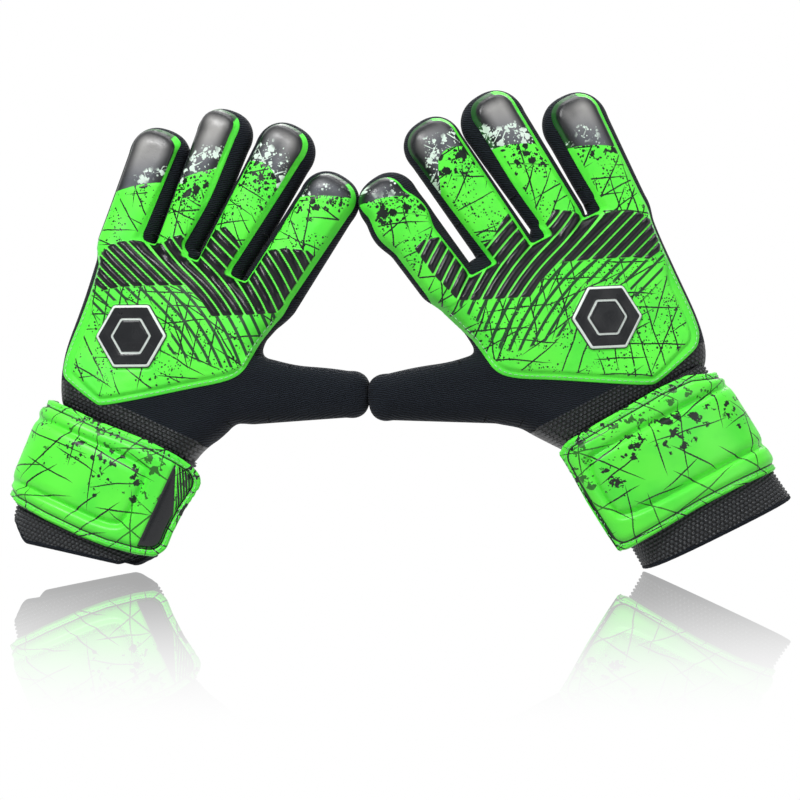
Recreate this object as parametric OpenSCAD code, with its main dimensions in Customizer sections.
// A pair of goalkeeper gloves, left hand at -X and right hand at +X, standing on their cuffs
// with the backs of the hands towards -Y. Each glove is drawn in its own hand frame:
// +Z from the wrist hinge line to the fingertips, +X towards the thumb, +Y out of the palm.
// The right glove is the mirror of that frame with its own finger spread.

/* [Pair] */
// Lean of the left glove away from upright, in degrees
left_lean = 24; // [10:1:35]
// Lean of the right glove away from upright, in degrees
right_lean = 27; // [10:1:35]
// Turn of each glove about its own long axis, thumb side forward, in degrees
yaw = 12; // [0:1:20]
// Wrist hinge point of the left glove in the pair frame
left_wrist = [-158.353, 5.963, 84.595]; // [-220:0.001:120]
// Wrist hinge point of the right glove in the pair frame
right_wrist = [142.847, 5.963, 102.169]; // [-120:0.001:220]

/* [Fingers: little, ring, middle, index] */
// Height of each finger's root above the wrist hinge
root_z = [98, 111, 110.5, 106]; // [90:0.5:120]
// Height of the centre of each rounded fingertip
tip_z = [157, 182, 187.5, 171.5]; // [140:0.5:195]
// Sideways place of each root, left glove
left_root_x = [-45, -15, 12, 43]; // [-60:0.5:70]
// Sideways place of each tip, left glove
left_tip_x = [-51, -18, 19.5, 54.5]; // [-60:0.5:80]
// Half width of each finger at its root, left glove
left_root_w = [15.2, 13, 13, 15.3]; // [10:0.1:18]
// Half width of each finger at its tip, left glove
left_tip_w = [15, 15, 16, 16.3]; // [10:0.1:18]
// Sideways place of each root, right glove
right_root_x = [-46, -8, 23.5, 59.5]; // [-60:0.5:70]
// Sideways place of each tip, right glove
right_tip_x = [-46, 0.9, 36, 72.5]; // [-60:0.5:80]
// Half width of each finger at its root, right glove
right_root_w = [16.5, 14.6, 14.2, 16]; // [10:0.1:18]
// Half width of each finger at its tip, right glove
right_tip_w = [16.5, 15.5, 15, 16.2]; // [10:0.1:18]
// Distance from root to knuckle hinge line, measured up the hand
knuckle_up = [10, 12, 12, 12]; // [8:0.5:16]
// Distance from root to middle hinge line, measured up the hand
middle_up = [38, 44, 46, 43]; // [34:0.5:52]
// Half thickness of a finger or thumb stall
finger_half_t = 13; // [11:0.5:15]
// Thickness of the foam back on a finger
finger_back_t = 3.7; // [2.5:0.1:5]
// Thickness of the latex palm on a finger or thumb
finger_palm_t = 4.2; // [3:0.1:5]

/* [Thumb] */
// Root point of the left thumb stall, sideways and up
left_thumb_root = [56, 47]; // [40:0.5:75]
// Centre of the rounded left thumb tip
left_thumb_tip = [114.3, 71.1]; // [60:0.5:135]
// Root point of the right thumb stall
right_thumb_root = [64, 43]; // [40:0.5:75]
// Centre of the rounded right thumb tip
right_thumb_tip = [126.1, 64.4]; // [55:0.5:135]
// Half width of the thumb stall at its root
thumb_root_w = 18.5; // [15:0.5:20]
// Half width of the thumb stall at its tip
thumb_tip_w = 12.6; // [11:0.1:15]
// Thickness of the back of the thumb stall
thumb_back_t = 3; // [2:0.1:5]
// Thumb root hinge line, measured along the thumb from its root point
thumb_hinge_1 = 8; // [6:0.5:12]
// Thumb middle hinge line, measured along the thumb from its root point
thumb_hinge_2 = 34; // [30:0.5:38]

/* [Hand] */
// Half thickness of the hand
hand_half_t = 17; // [15:0.5:20]
// Thickness of the embossed backhand foam
back_t = 4.5; // [3:0.1:6]
// Thickness of the palm latex and its backing
palm_t = 5; // [4:0.1:7]
// Thickness of a knitted gusset wall
gusset_t = 2.2; // [1.5:0.1:3]
// Thickness of the inner lining
lining_t = 1; // [0.6:0.1:1.5]
// Height of the raised knuckle bars
rib_h = 1.2; // [0.6:0.1:2]

/* [Cuff] */
// Half width of the wrist bandage tube
cuff_half_w = 45; // [40:0.5:50]
// Half depth of the wrist bandage tube
cuff_half_d = 24; // [20:0.5:28]
// Wall of the knitted wrist bandage
cuff_wall = 2.5; // [1.5:0.1:4]
// Depth of the left cuff below the wrist hinge, at its middle
left_cuff_len = 80; // [76:1:96]
// Depth of the right cuff below the wrist hinge, at its middle
right_cuff_len = 95; // [76:1:96]
// Slope of the left cuff's lower edge, in degrees
left_cuff_slope = 9; // [0:0.5:12]
// Slope of the right cuff's lower edge, in degrees
right_cuff_slope = 4; // [0:0.5:12]
// Lean of the left cuff against its hand, in degrees
left_cuff_tilt = -2; // [-5:1:5]
// Lean of the right cuff against its hand, in degrees
right_cuff_tilt = 5; // [-5:1:5]
// Height of the closing strap
strap_len = 64; // [55:1:70]
// Thickness of the padded strap
strap_t = 4.5; // [3:0.1:6]

/* [Hidden] */
fingers = ["little", "ring", "middle", "index"];
sides = ["left", "right"];
function node_names(side) = concat(
    [for (name = ["wrist_bandage", "cuff_hem", "loop_patch", "strap_panel", "strap_end_panel",
                  "hook_patch", "backhand_panel", "knuckle_ribs", "emblem", "palm_latex",
                  "hand_knit_body", "hand_lining", "thumb_base_stall", "thumb_tip_stall"])
        str(side, "_", name)],
    [for (finger = fingers) for (name = ["base_back", "base_stall", "tip_back", "tip_stall"])
        str(side, "_", finger, "_", name)]);
NODES = concat(node_names("left"), node_names("right"));
node = "all";

GREEN = [0.22, 0.95, 0.2];
BLACK = [0.06, 0.06, 0.07];
KNIT = [0.09, 0.09, 0.10];
GREY = [0.16, 0.17, 0.19];

little = 0;            // places in the finger lists
index = 3;
seam = 0.05;           // space left between two pieces that are sewn together
tip_flats = 8;         // flats round a rounded tip
root_extra = 16;       // a stall's outline starts this far before its root
above_tips = 220;      // a height beyond every fingertip
past_thumb = 100;      // a distance beyond the thumb tip, along the thumb

// Bending room at the hinge lines; angles in degrees
hinge_gap = 0.25;      // half the gap at a hinge line, on the axis
room_reach = 22;       // reach of the room towards palm and back
knuckle_curl = 72;
middle_curl = 82;
finger_lift = 12;      // backwards, at both finger hinges

// How far each layer is inset from the outline
finger_back_inset = 1.6;
hand_back_inset = 1.8;
palm_inset = 1.2;      // latex palms, and the thumb's back
rib_inset = 4;
lining_inset = 4;
lining_clearance = 0.8; // from the lining to a gusset wall

// Inner faces of the back and palm layers, as Y
finger_back_y = -finger_half_t + finger_back_t;
finger_palm_y = finger_half_t - finger_palm_t;
thumb_back_y = -finger_half_t + thumb_back_t;
hand_back_y = -hand_half_t + back_t;
hand_palm_y = hand_half_t - palm_t;

hand_bottom = 8;
lining_top = 90;

// Cuff layers, by how far they stand out from the bandage's oval
loop_out = [0.35, 0.85];
hook_out = [1.1, 1.6];
strap_out = [2, 2 + strap_t];
end_panel_out = [strap_out[1] + 0.35, strap_out[1] + 1.1];
hem_out = 1.2;
cuff_top = -6;
hem_fold = 3;          // the bandage ends this far above the cuff's lower edge
hem_len = 7;
strap_top = -5;
strap_bottom = strap_top - strap_len;

function blend(a, b, t) = a + (b - a) * t;
function unit(v) = v / norm(v);
function across(v) = [v[1], -v[0]];
function pick(side, left, right) = side == "left" ? left : right;

function root(side, i) = [pick(side, left_root_x, right_root_x)[i], root_z[i]];
function tip(side, i) = [pick(side, left_tip_x, right_tip_x)[i], tip_z[i]];
function root_w(side, i) = pick(side, left_root_w, right_root_w)[i];
function tip_w(side, i) = pick(side, left_tip_w, right_tip_w)[i];
function knuckle_z(i) = root_z[i] + knuckle_up[i];
function middle_z(i) = root_z[i] + middle_up[i];
function top_z(side, i) = tip_z[i] + tip_w(side, i);

function thumb_root(side) = pick(side, left_thumb_root, right_thumb_root);
function thumb_tip(side) = pick(side, left_thumb_tip, right_thumb_tip);
function thumb_dir(side) = unit(thumb_tip(side) - thumb_root(side));
function thumb_angle(side) = atan2(thumb_dir(side)[0], thumb_dir(side)[1]);
function thumb_len(side) = norm(thumb_tip(side) - thumb_root(side));
function thumb_w(side, along) = blend(thumb_root_w, thumb_tip_w, along / thumb_len(side));

function cuff_len(side) = pick(side, left_cuff_len, right_cuff_len);
function cuff_slope(side) = pick(side, left_cuff_slope, right_cuff_slope);

// Outline of a tapering stall with a rounded end, drawn inset.
function stall_outline(root, tip, root_w, tip_w, inset) =
    let (up = unit(tip - root), out = across(up), start = root - up * root_extra)
    concat([start - out * (root_w - inset)],
           [for (k = [0:tip_flats])
               let (a = 180 - 180 * k / tip_flats)
               tip + out * (tip_w - inset) * cos(a) + up * (tip_w - inset) * sin(a)],
           [start + out * (root_w - inset)]);

// A flat shape in the X-Z plane, given thickness from y0 to y1.
module slab(y0, y1) {
    translate([0, y1, 0]) rotate([90, 0, 0]) linear_extrude(height = y1 - y0) children();
}

// A shape in the X-Y plane, given height from z0 to z1.
module rise(z0, z1) {
    translate([0, 0, z0]) linear_extrude(height = z1 - z0) children();
}

// Room for a crease to bend: a bow-tie prism across X at height 0.
module bend_room(palm_angle, back_angle, x0, x1) {
    palm_open = hinge_gap + room_reach * tan(palm_angle / 2);
    back_open = hinge_gap + room_reach * tan(back_angle / 2);
    translate([x0, 0, 0]) rotate([90, 0, 90]) linear_extrude(height = x1 - x0)
        polygon([[0, -hinge_gap], [room_reach, -palm_open], [room_reach, palm_open],
                 [0, hinge_gap], [-room_reach, back_open], [-room_reach, -back_open]]);
}

module band_2d(z0, z1) {
    translate([-90, z0]) square([220, z1 - z0]);
}

// Seam slot across a gusset ring, at the centre of its rounded tip.
module tip_slot_2d(x, z) {
    translate([x - 40, z]) square([80, 2 * seam]);
}

// ---- Fingers ----

// One finger's flat outline between two heights.
module finger_2d(side, i, inset, z0, z1) {
    intersection() {
        polygon(stall_outline(root(side, i), tip(side, i), root_w(side, i), tip_w(side, i), inset));
        band_2d(z0, z1);
    }
}

module finger_rooms(side, i) {
    x = root(side, i)[0];
    translate([0, 0, knuckle_z(i)]) bend_room(knuckle_curl, finger_lift, x - 24, x + 32);
    translate([0, 0, middle_z(i)]) bend_room(middle_curl, finger_lift, x - 24, x + 36);
}

// Foam back of one finger segment.
module finger_back(side, i, z0, z1) {
    difference() {
        slab(-finger_half_t, finger_back_y) finger_2d(side, i, finger_back_inset, z0, z1);
        finger_rooms(side, i);
    }
}

// Latex palm of one finger segment, with a knitted strip down each side and,
// on a tip, round its end. The strips stay apart by the seam.
module finger_stall(side, i, z0, z1) {
    difference() {
        slab(finger_palm_y, finger_half_t) finger_2d(side, i, palm_inset, z0, z1);
        finger_rooms(side, i);
    }
    difference() {
        slab(finger_back_y + seam, finger_palm_y - seam) difference() {
            finger_2d(side, i, 0, z0, z1);
            finger_2d(side, i, gusset_t, z0 - 1, z1 < top_z(side, i) ? z1 + 1 : z1);
            tip_slot_2d(tip(side, i)[0], tip_z[i]);
        }
        finger_rooms(side, i);
    }
}

module base_back(side, i) { color(GREEN) finger_back(side, i, knuckle_z(i), middle_z(i)); }
module base_stall(side, i) { color(KNIT) finger_stall(side, i, knuckle_z(i), middle_z(i)); }
module tip_back(side, i) { color(BLACK) finger_back(side, i, middle_z(i), above_tips); }
module tip_stall(side, i) { color(KNIT) finger_stall(side, i, middle_z(i), above_tips); }

// ---- Thumb ----

// Frame of the thumb: +Z along the thumb, +X on the side away from the index finger.
module thumb_frame(side) {
    translate([thumb_root(side)[0], 0, thumb_root(side)[1]])
        rotate([0, thumb_angle(side), 0]) children();
}

module thumb_rooms() {
    translate([0, 0, thumb_hinge_1]) bend_room(palm_angle = 42, back_angle = 17, x0 = -26, x1 = 26);
    translate([0, 0, thumb_hinge_2]) bend_room(palm_angle = 57, back_angle = 8, x0 = -24, x1 = 24);
}

module thumb_2d(side, inset, z0, z1) {
    intersection() {
        polygon(stall_outline([0, 0], [0, thumb_len(side)], thumb_root_w, thumb_tip_w, inset));
        translate([-40, z0]) square([80, z1 - z0]);
    }
}

// Back, palm and gusset strips of one thumb segment.
module thumb_part(side, z0, z1) {
    thumb_frame(side) {
        for (layer = [[-finger_half_t, thumb_back_y], [finger_palm_y, finger_half_t]])
            difference() {
                slab(layer[0], layer[1]) thumb_2d(side, palm_inset, z0, z1);
                thumb_rooms();
            }
        difference() {
            slab(thumb_back_y + seam, finger_palm_y - seam) difference() {
                thumb_2d(side, 0, z0, z1);
                thumb_2d(side, gusset_t, z0 - 1, z1 < thumb_len(side) ? z1 + 1 : z1);
                tip_slot_2d(0, thumb_len(side));
            }
            thumb_rooms();
        }
    }
}

module thumb_base_stall(side) { color(KNIT) thumb_part(side, thumb_hinge_1, thumb_hinge_2); }
module thumb_tip_stall(side) { color(KNIT) thumb_part(side, thumb_hinge_2, past_thumb); }

// ---- Hand ----

// The hand's outline [x, z] below the finger roots: up the little-finger edge, across
// the roots, round the thumb root and down to the heel.
function hand_points(side, inset) =
    let (along = thumb_dir(side),
         out = across(along),
         hinge = thumb_root(side) + along * thumb_hinge_1,
         before_hinge = thumb_root(side) + along * (thumb_hinge_1 - 6),
         half_w = thumb_w(side, thumb_hinge_1) - inset,
         index_x = root(side, index)[0] + root_w(side, index) - inset,
         little_x = root(side, little)[0] - root_w(side, little) + inset)
    [[-42 + inset, hand_bottom], [-49 + inset, 17], [-53.5 + inset, 34], [little_x + 1, 70],
     [little_x, root_z[little] - 3], [little_x + 12, root_z[little] - 2],
     [index_x - 12, root_z[index] - 4], [index_x + 0.5, root_z[index] - 6],
     before_hinge - out * (half_w + 3.5), hinge - out * half_w, hinge + out * half_w,
     [46 - inset, 16], [43 - inset, hand_bottom]];

// Wedge that keeps the crotch between fingers i and i + 1 open.
module crotch_2d(side, i) {
    half_w = 0.7;
    flare = 1.5;
    x = (root(side, i)[0] + root_w(side, i) + root(side, i + 1)[0] - root_w(side, i + 1)) / 2;
    z = max(root_z[i], root_z[i + 1]);
    polygon([[x - half_w, z - 4], [x + half_w, z - 4],
             [x + half_w + flare, z + 30], [x - half_w - flare, z + 30]]);
}

module hand_2d(side, inset) {
    difference() {
        union() {
            polygon(hand_points(side, inset));
            for (i = [0:3]) finger_2d(side, i, inset, root_z[i] - 14, knuckle_z(i));
        }
        for (i = [0:2]) crotch_2d(side, i);
    }
}

module hand_rooms(side) {
    for (i = [0:3]) finger_rooms(side, i);
    thumb_frame(side) thumb_rooms();
}

// One layer of the hand, from a flat shape, with its bending room cut out.
module hand_layer(side, y0, y1) {
    difference() {
        slab(y0, y1) children();
        hand_rooms(side);
    }
}

// The region of the green backhand, [x, z]: above a line that rises towards the thumb side.
module backhand_zone_2d(side) {
    thumb = thumb_root(side);
    polygon([[-80, 22], [-46, 12.5], [-23, 6.5], [5, 24], [40, 50],
             [thumb[0] - 9, 68], [thumb[0] + 4, 86], [110, 96], [110, 210], [-80, 210]]);
}

// The backhand's region with the seam allowance round it.
module backhand_allowance_2d(side) {
    for (k = [0:11]) translate(0.3 * [cos(30 * k), sin(30 * k)]) backhand_zone_2d(side);
}

module backhand_panel(side) {
    color(GREEN) hand_layer(side, -hand_half_t, hand_back_y) intersection() {
        hand_2d(side, hand_back_inset);
        backhand_zone_2d(side);
    }
}

// Outline [x, z] of the knuckle bars' region, left glove; the right one is wider.
rib_zone = [
    [-58.5, 89], [-51, 100], [-34, 107], [-14, 121], [0, 130], [20, 126], [34, 131], [57, 141],
    [61, 139], [54.5, 100.5], [19, 82], [10.5, 88], [-5, 92], [-40.5, 75.5], [-47.5, 70], [-57, 74.5]
];

module rib_zone_2d(side) {
    stretch = pick(side, 1, 1.13);
    shift = pick(side, 0, 4);
    polygon([for (p = rib_zone) [stretch * p[0] + shift, p[1]]]);
}

// Raised bars that cross the knuckles on a slant.
module knuckle_ribs(side) {
    pitch = 6.8;
    bar_w = 4.7;
    color(GREY) slab(-hand_half_t - rib_h, -hand_half_t) intersection() {
        for (k = [0:14])
            translate([0, 52 + k * pitch]) rotate(-20) translate([-90, 0]) square([220, bar_w]);
        hand_2d(side, rib_inset);
        rib_zone_2d(side);
        band_2d(58, min([for (i = [0:3]) knuckle_z(i)]) - 4);
    }
}

module hexagon(radius) { polygon([for (k = [0:5]) radius * [cos(60 * k), sin(60 * k)]]); }

// A plain raised hexagonal badge with a smaller step on top.
module emblem(side) {
    base_h = 1.6;
    step_h = 2.4;
    color(BLACK) translate([pick(side, -22, -11), 0, pick(side, 51, 50)]) {
        slab(-hand_half_t - base_h, -hand_half_t) hexagon(15);
        slab(-hand_half_t - step_h, -hand_half_t - base_h) hexagon(10);
    }
}

module palm_latex(side) {
    color(BLACK) hand_layer(side, hand_palm_y, hand_half_t) hand_2d(side, palm_inset);
}

// Where the hand's edge has knitted walls.
module wall_zone_2d() {
    translate([-90, hand_bottom]) square([62, 100]);      // little-finger edge
    translate([28, root_z[index] - 36]) square([80, 44]); // index edge
    translate([38, hand_bottom]) square([60, 26]);        // heel below the thumb
}

// Knitted body: the dark panel by the thumb on the back, and the walls along the hand's edges.
module hand_knit_body(side) {
    color(KNIT) {
        hand_layer(side, -hand_half_t, hand_back_y) difference() {
            hand_2d(side, hand_back_inset);
            backhand_allowance_2d(side);
        }
        hand_layer(side, hand_back_y + seam, hand_palm_y - seam) intersection() {
            difference() {
                hand_2d(side, 0);
                hand_2d(side, gusset_t);
            }
            wall_zone_2d();
        }
    }
}

module lining_2d(side) {
    difference() {
        intersection() {
            hand_2d(side, lining_inset);
            band_2d(hand_bottom, lining_top);
        }
        difference() {
            hand_2d(side, -1);
            hand_2d(side, gusset_t + lining_clearance);
        }
    }
}

// Lining sheets against the back and the palm.
module hand_lining(side) {
    color(KNIT) {
        hand_layer(side, hand_back_y + seam, hand_back_y + lining_t) lining_2d(side);
        hand_layer(side, hand_palm_y - lining_t, hand_palm_y - seam) lining_2d(side);
    }
}

// ---- Cuff ----

// Arc of the cuff's oval, grown outwards; angle 0 is the thumb side, 90 the back of the wrist.
function oval(grow, a0, a1, steps) = [for (k = [0:steps]) let (a = blend(a0, a1, k / steps))
    [(cuff_half_w + grow) * cos(a),
     -(cuff_half_d + grow) * sign(sin(a)) * pow(abs(sin(a)), 0.85)]];

// The whole oval as a solid.
module oval_block(grow, z0, z1) {
    rise(z0, z1) polygon(oval(grow, 0, 360, 48));
}

// A curved sheet round part of the oval; out = [inner, outer] growth.
module wrap(out, a0, a1, steps, z0, z1) {
    rise(z0, z1) polygon(concat(oval(out[0], a0, a1, steps), oval(out[1], a1, a0, steps)));
}

// Frame of the cuff, leaned a little against the hand.
module cuff_frame(side) {
    rotate([0, pick(side, left_cuff_tilt, right_cuff_tilt), 0]) children();
}

// Cutting block parallel to the cuff's slanted lower edge, at a height above that edge.
module slanted_block(side, height, bottom) {
    translate([0, 0, -cuff_len(side) + height]) rotate([0, -cuff_slope(side), 0])
        translate([-80, -60, bottom]) cube([160, 120, 60]);
}

module cut_below(side, height) { slanted_block(side, height, -60); }
module cut_above(side, height) { slanted_block(side, height, 0); }

module wrist_bandage(side) {
    edge = -cuff_len(side);
    color(KNIT) difference() {
        oval_block(0, edge - 12, cuff_top);
        oval_block(-cuff_wall, edge - 14, cuff_top + 1);
        cut_below(side, hem_fold);
    }
}

// Band round the bandage's lower end, closing under its edge.
module cuff_hem(side) {
    edge = -cuff_len(side);
    color(BLACK) difference() {
        oval_block(hem_out, edge - 12, edge + 18);
        oval_block(-cuff_wall, edge - 14, edge + 20);
        cut_below(side, 0);
        difference() {
            oval_block(0, edge - 13, edge + 19);
            cut_below(side, hem_fold);
        }
        cut_above(side, hem_len);
    }
}

// Soft loop pile sewn to the bandage, where the strap's hooks take hold.
module loop_patch(side) {
    color(BLACK) wrap(loop_out, 2, 40, 10, strap_bottom + 8, strap_top - 8);
}

module hook_patch(side) {
    color(GREY) wrap(hook_out, 7, 34, 7, strap_bottom + 11, strap_top - 11);
}

// Padded strap, sewn down at the little-finger side and wrapped over the back of the wrist.
module strap_panel(side) {
    corner_x = 46;
    end_x = 56;
    corner_z = 8;
    color(GREEN) intersection() {
        wrap(strap_out, 2, 182, 28, strap_bottom, strap_top);
        // blunt corners at the free end
        slab(-40, 40) polygon([
            [-70, strap_bottom - 1], [corner_x, strap_bottom - 1], [corner_x, strap_bottom],
            [end_x, strap_bottom + corner_z], [end_x, strap_top - corner_z],
            [corner_x, strap_top], [corner_x, strap_top + 1], [-70, strap_top + 1]]);
    }
}

// Dark panel moulded on the strap's free end.
module strap_end_panel(side) {
    color(BLACK) wrap(end_panel_out, 6, 38, 8, strap_bottom + 12, strap_top - 14);
}

// ---- Pair ----

// From the hand frame to the pair frame.
module place(side) {
    if (side == "left")
        translate(left_wrist) rotate([0, left_lean, 0]) rotate([0, 0, -yaw]) children();
    else
        translate(right_wrist) rotate([0, -right_lean, 0]) rotate([0, 0, yaw])
            mirror([1, 0, 0]) children();
}

function wanted(owner, part) = node == "all" || node == str(owner, "_", part);

for (side = sides) place(side) {
    if (wanted(side, "wrist_bandage")) cuff_frame(side) wrist_bandage(side);
    if (wanted(side, "cuff_hem")) cuff_frame(side) cuff_hem(side);
    if (wanted(side, "loop_patch")) cuff_frame(side) loop_patch(side);
    if (wanted(side, "strap_panel")) cuff_frame(side) strap_panel(side);
    if (wanted(side, "strap_end_panel")) cuff_frame(side) strap_end_panel(side);
    if (wanted(side, "hook_patch")) cuff_frame(side) hook_patch(side);
    if (wanted(side, "backhand_panel")) backhand_panel(side);
    if (wanted(side, "knuckle_ribs")) knuckle_ribs(side);
    if (wanted(side, "emblem")) emblem(side);
    if (wanted(side, "palm_latex")) palm_latex(side);
    if (wanted(side, "hand_knit_body")) hand_knit_body(side);
    if (wanted(side, "hand_lining")) hand_lining(side);
    if (wanted(side, "thumb_base_stall")) thumb_base_stall(side);
    if (wanted(side, "thumb_tip_stall")) thumb_tip_stall(side);
    for (i = [0:3]) {
        finger = str(side, "_", fingers[i]);
        if (wanted(finger, "base_back")) base_back(side, i);
        if (wanted(finger, "base_stall")) base_stall(side, i);
        if (wanted(finger, "tip_back")) tip_back(side, i);
        if (wanted(finger, "tip_stall")) tip_stall(side, i);
    }
}
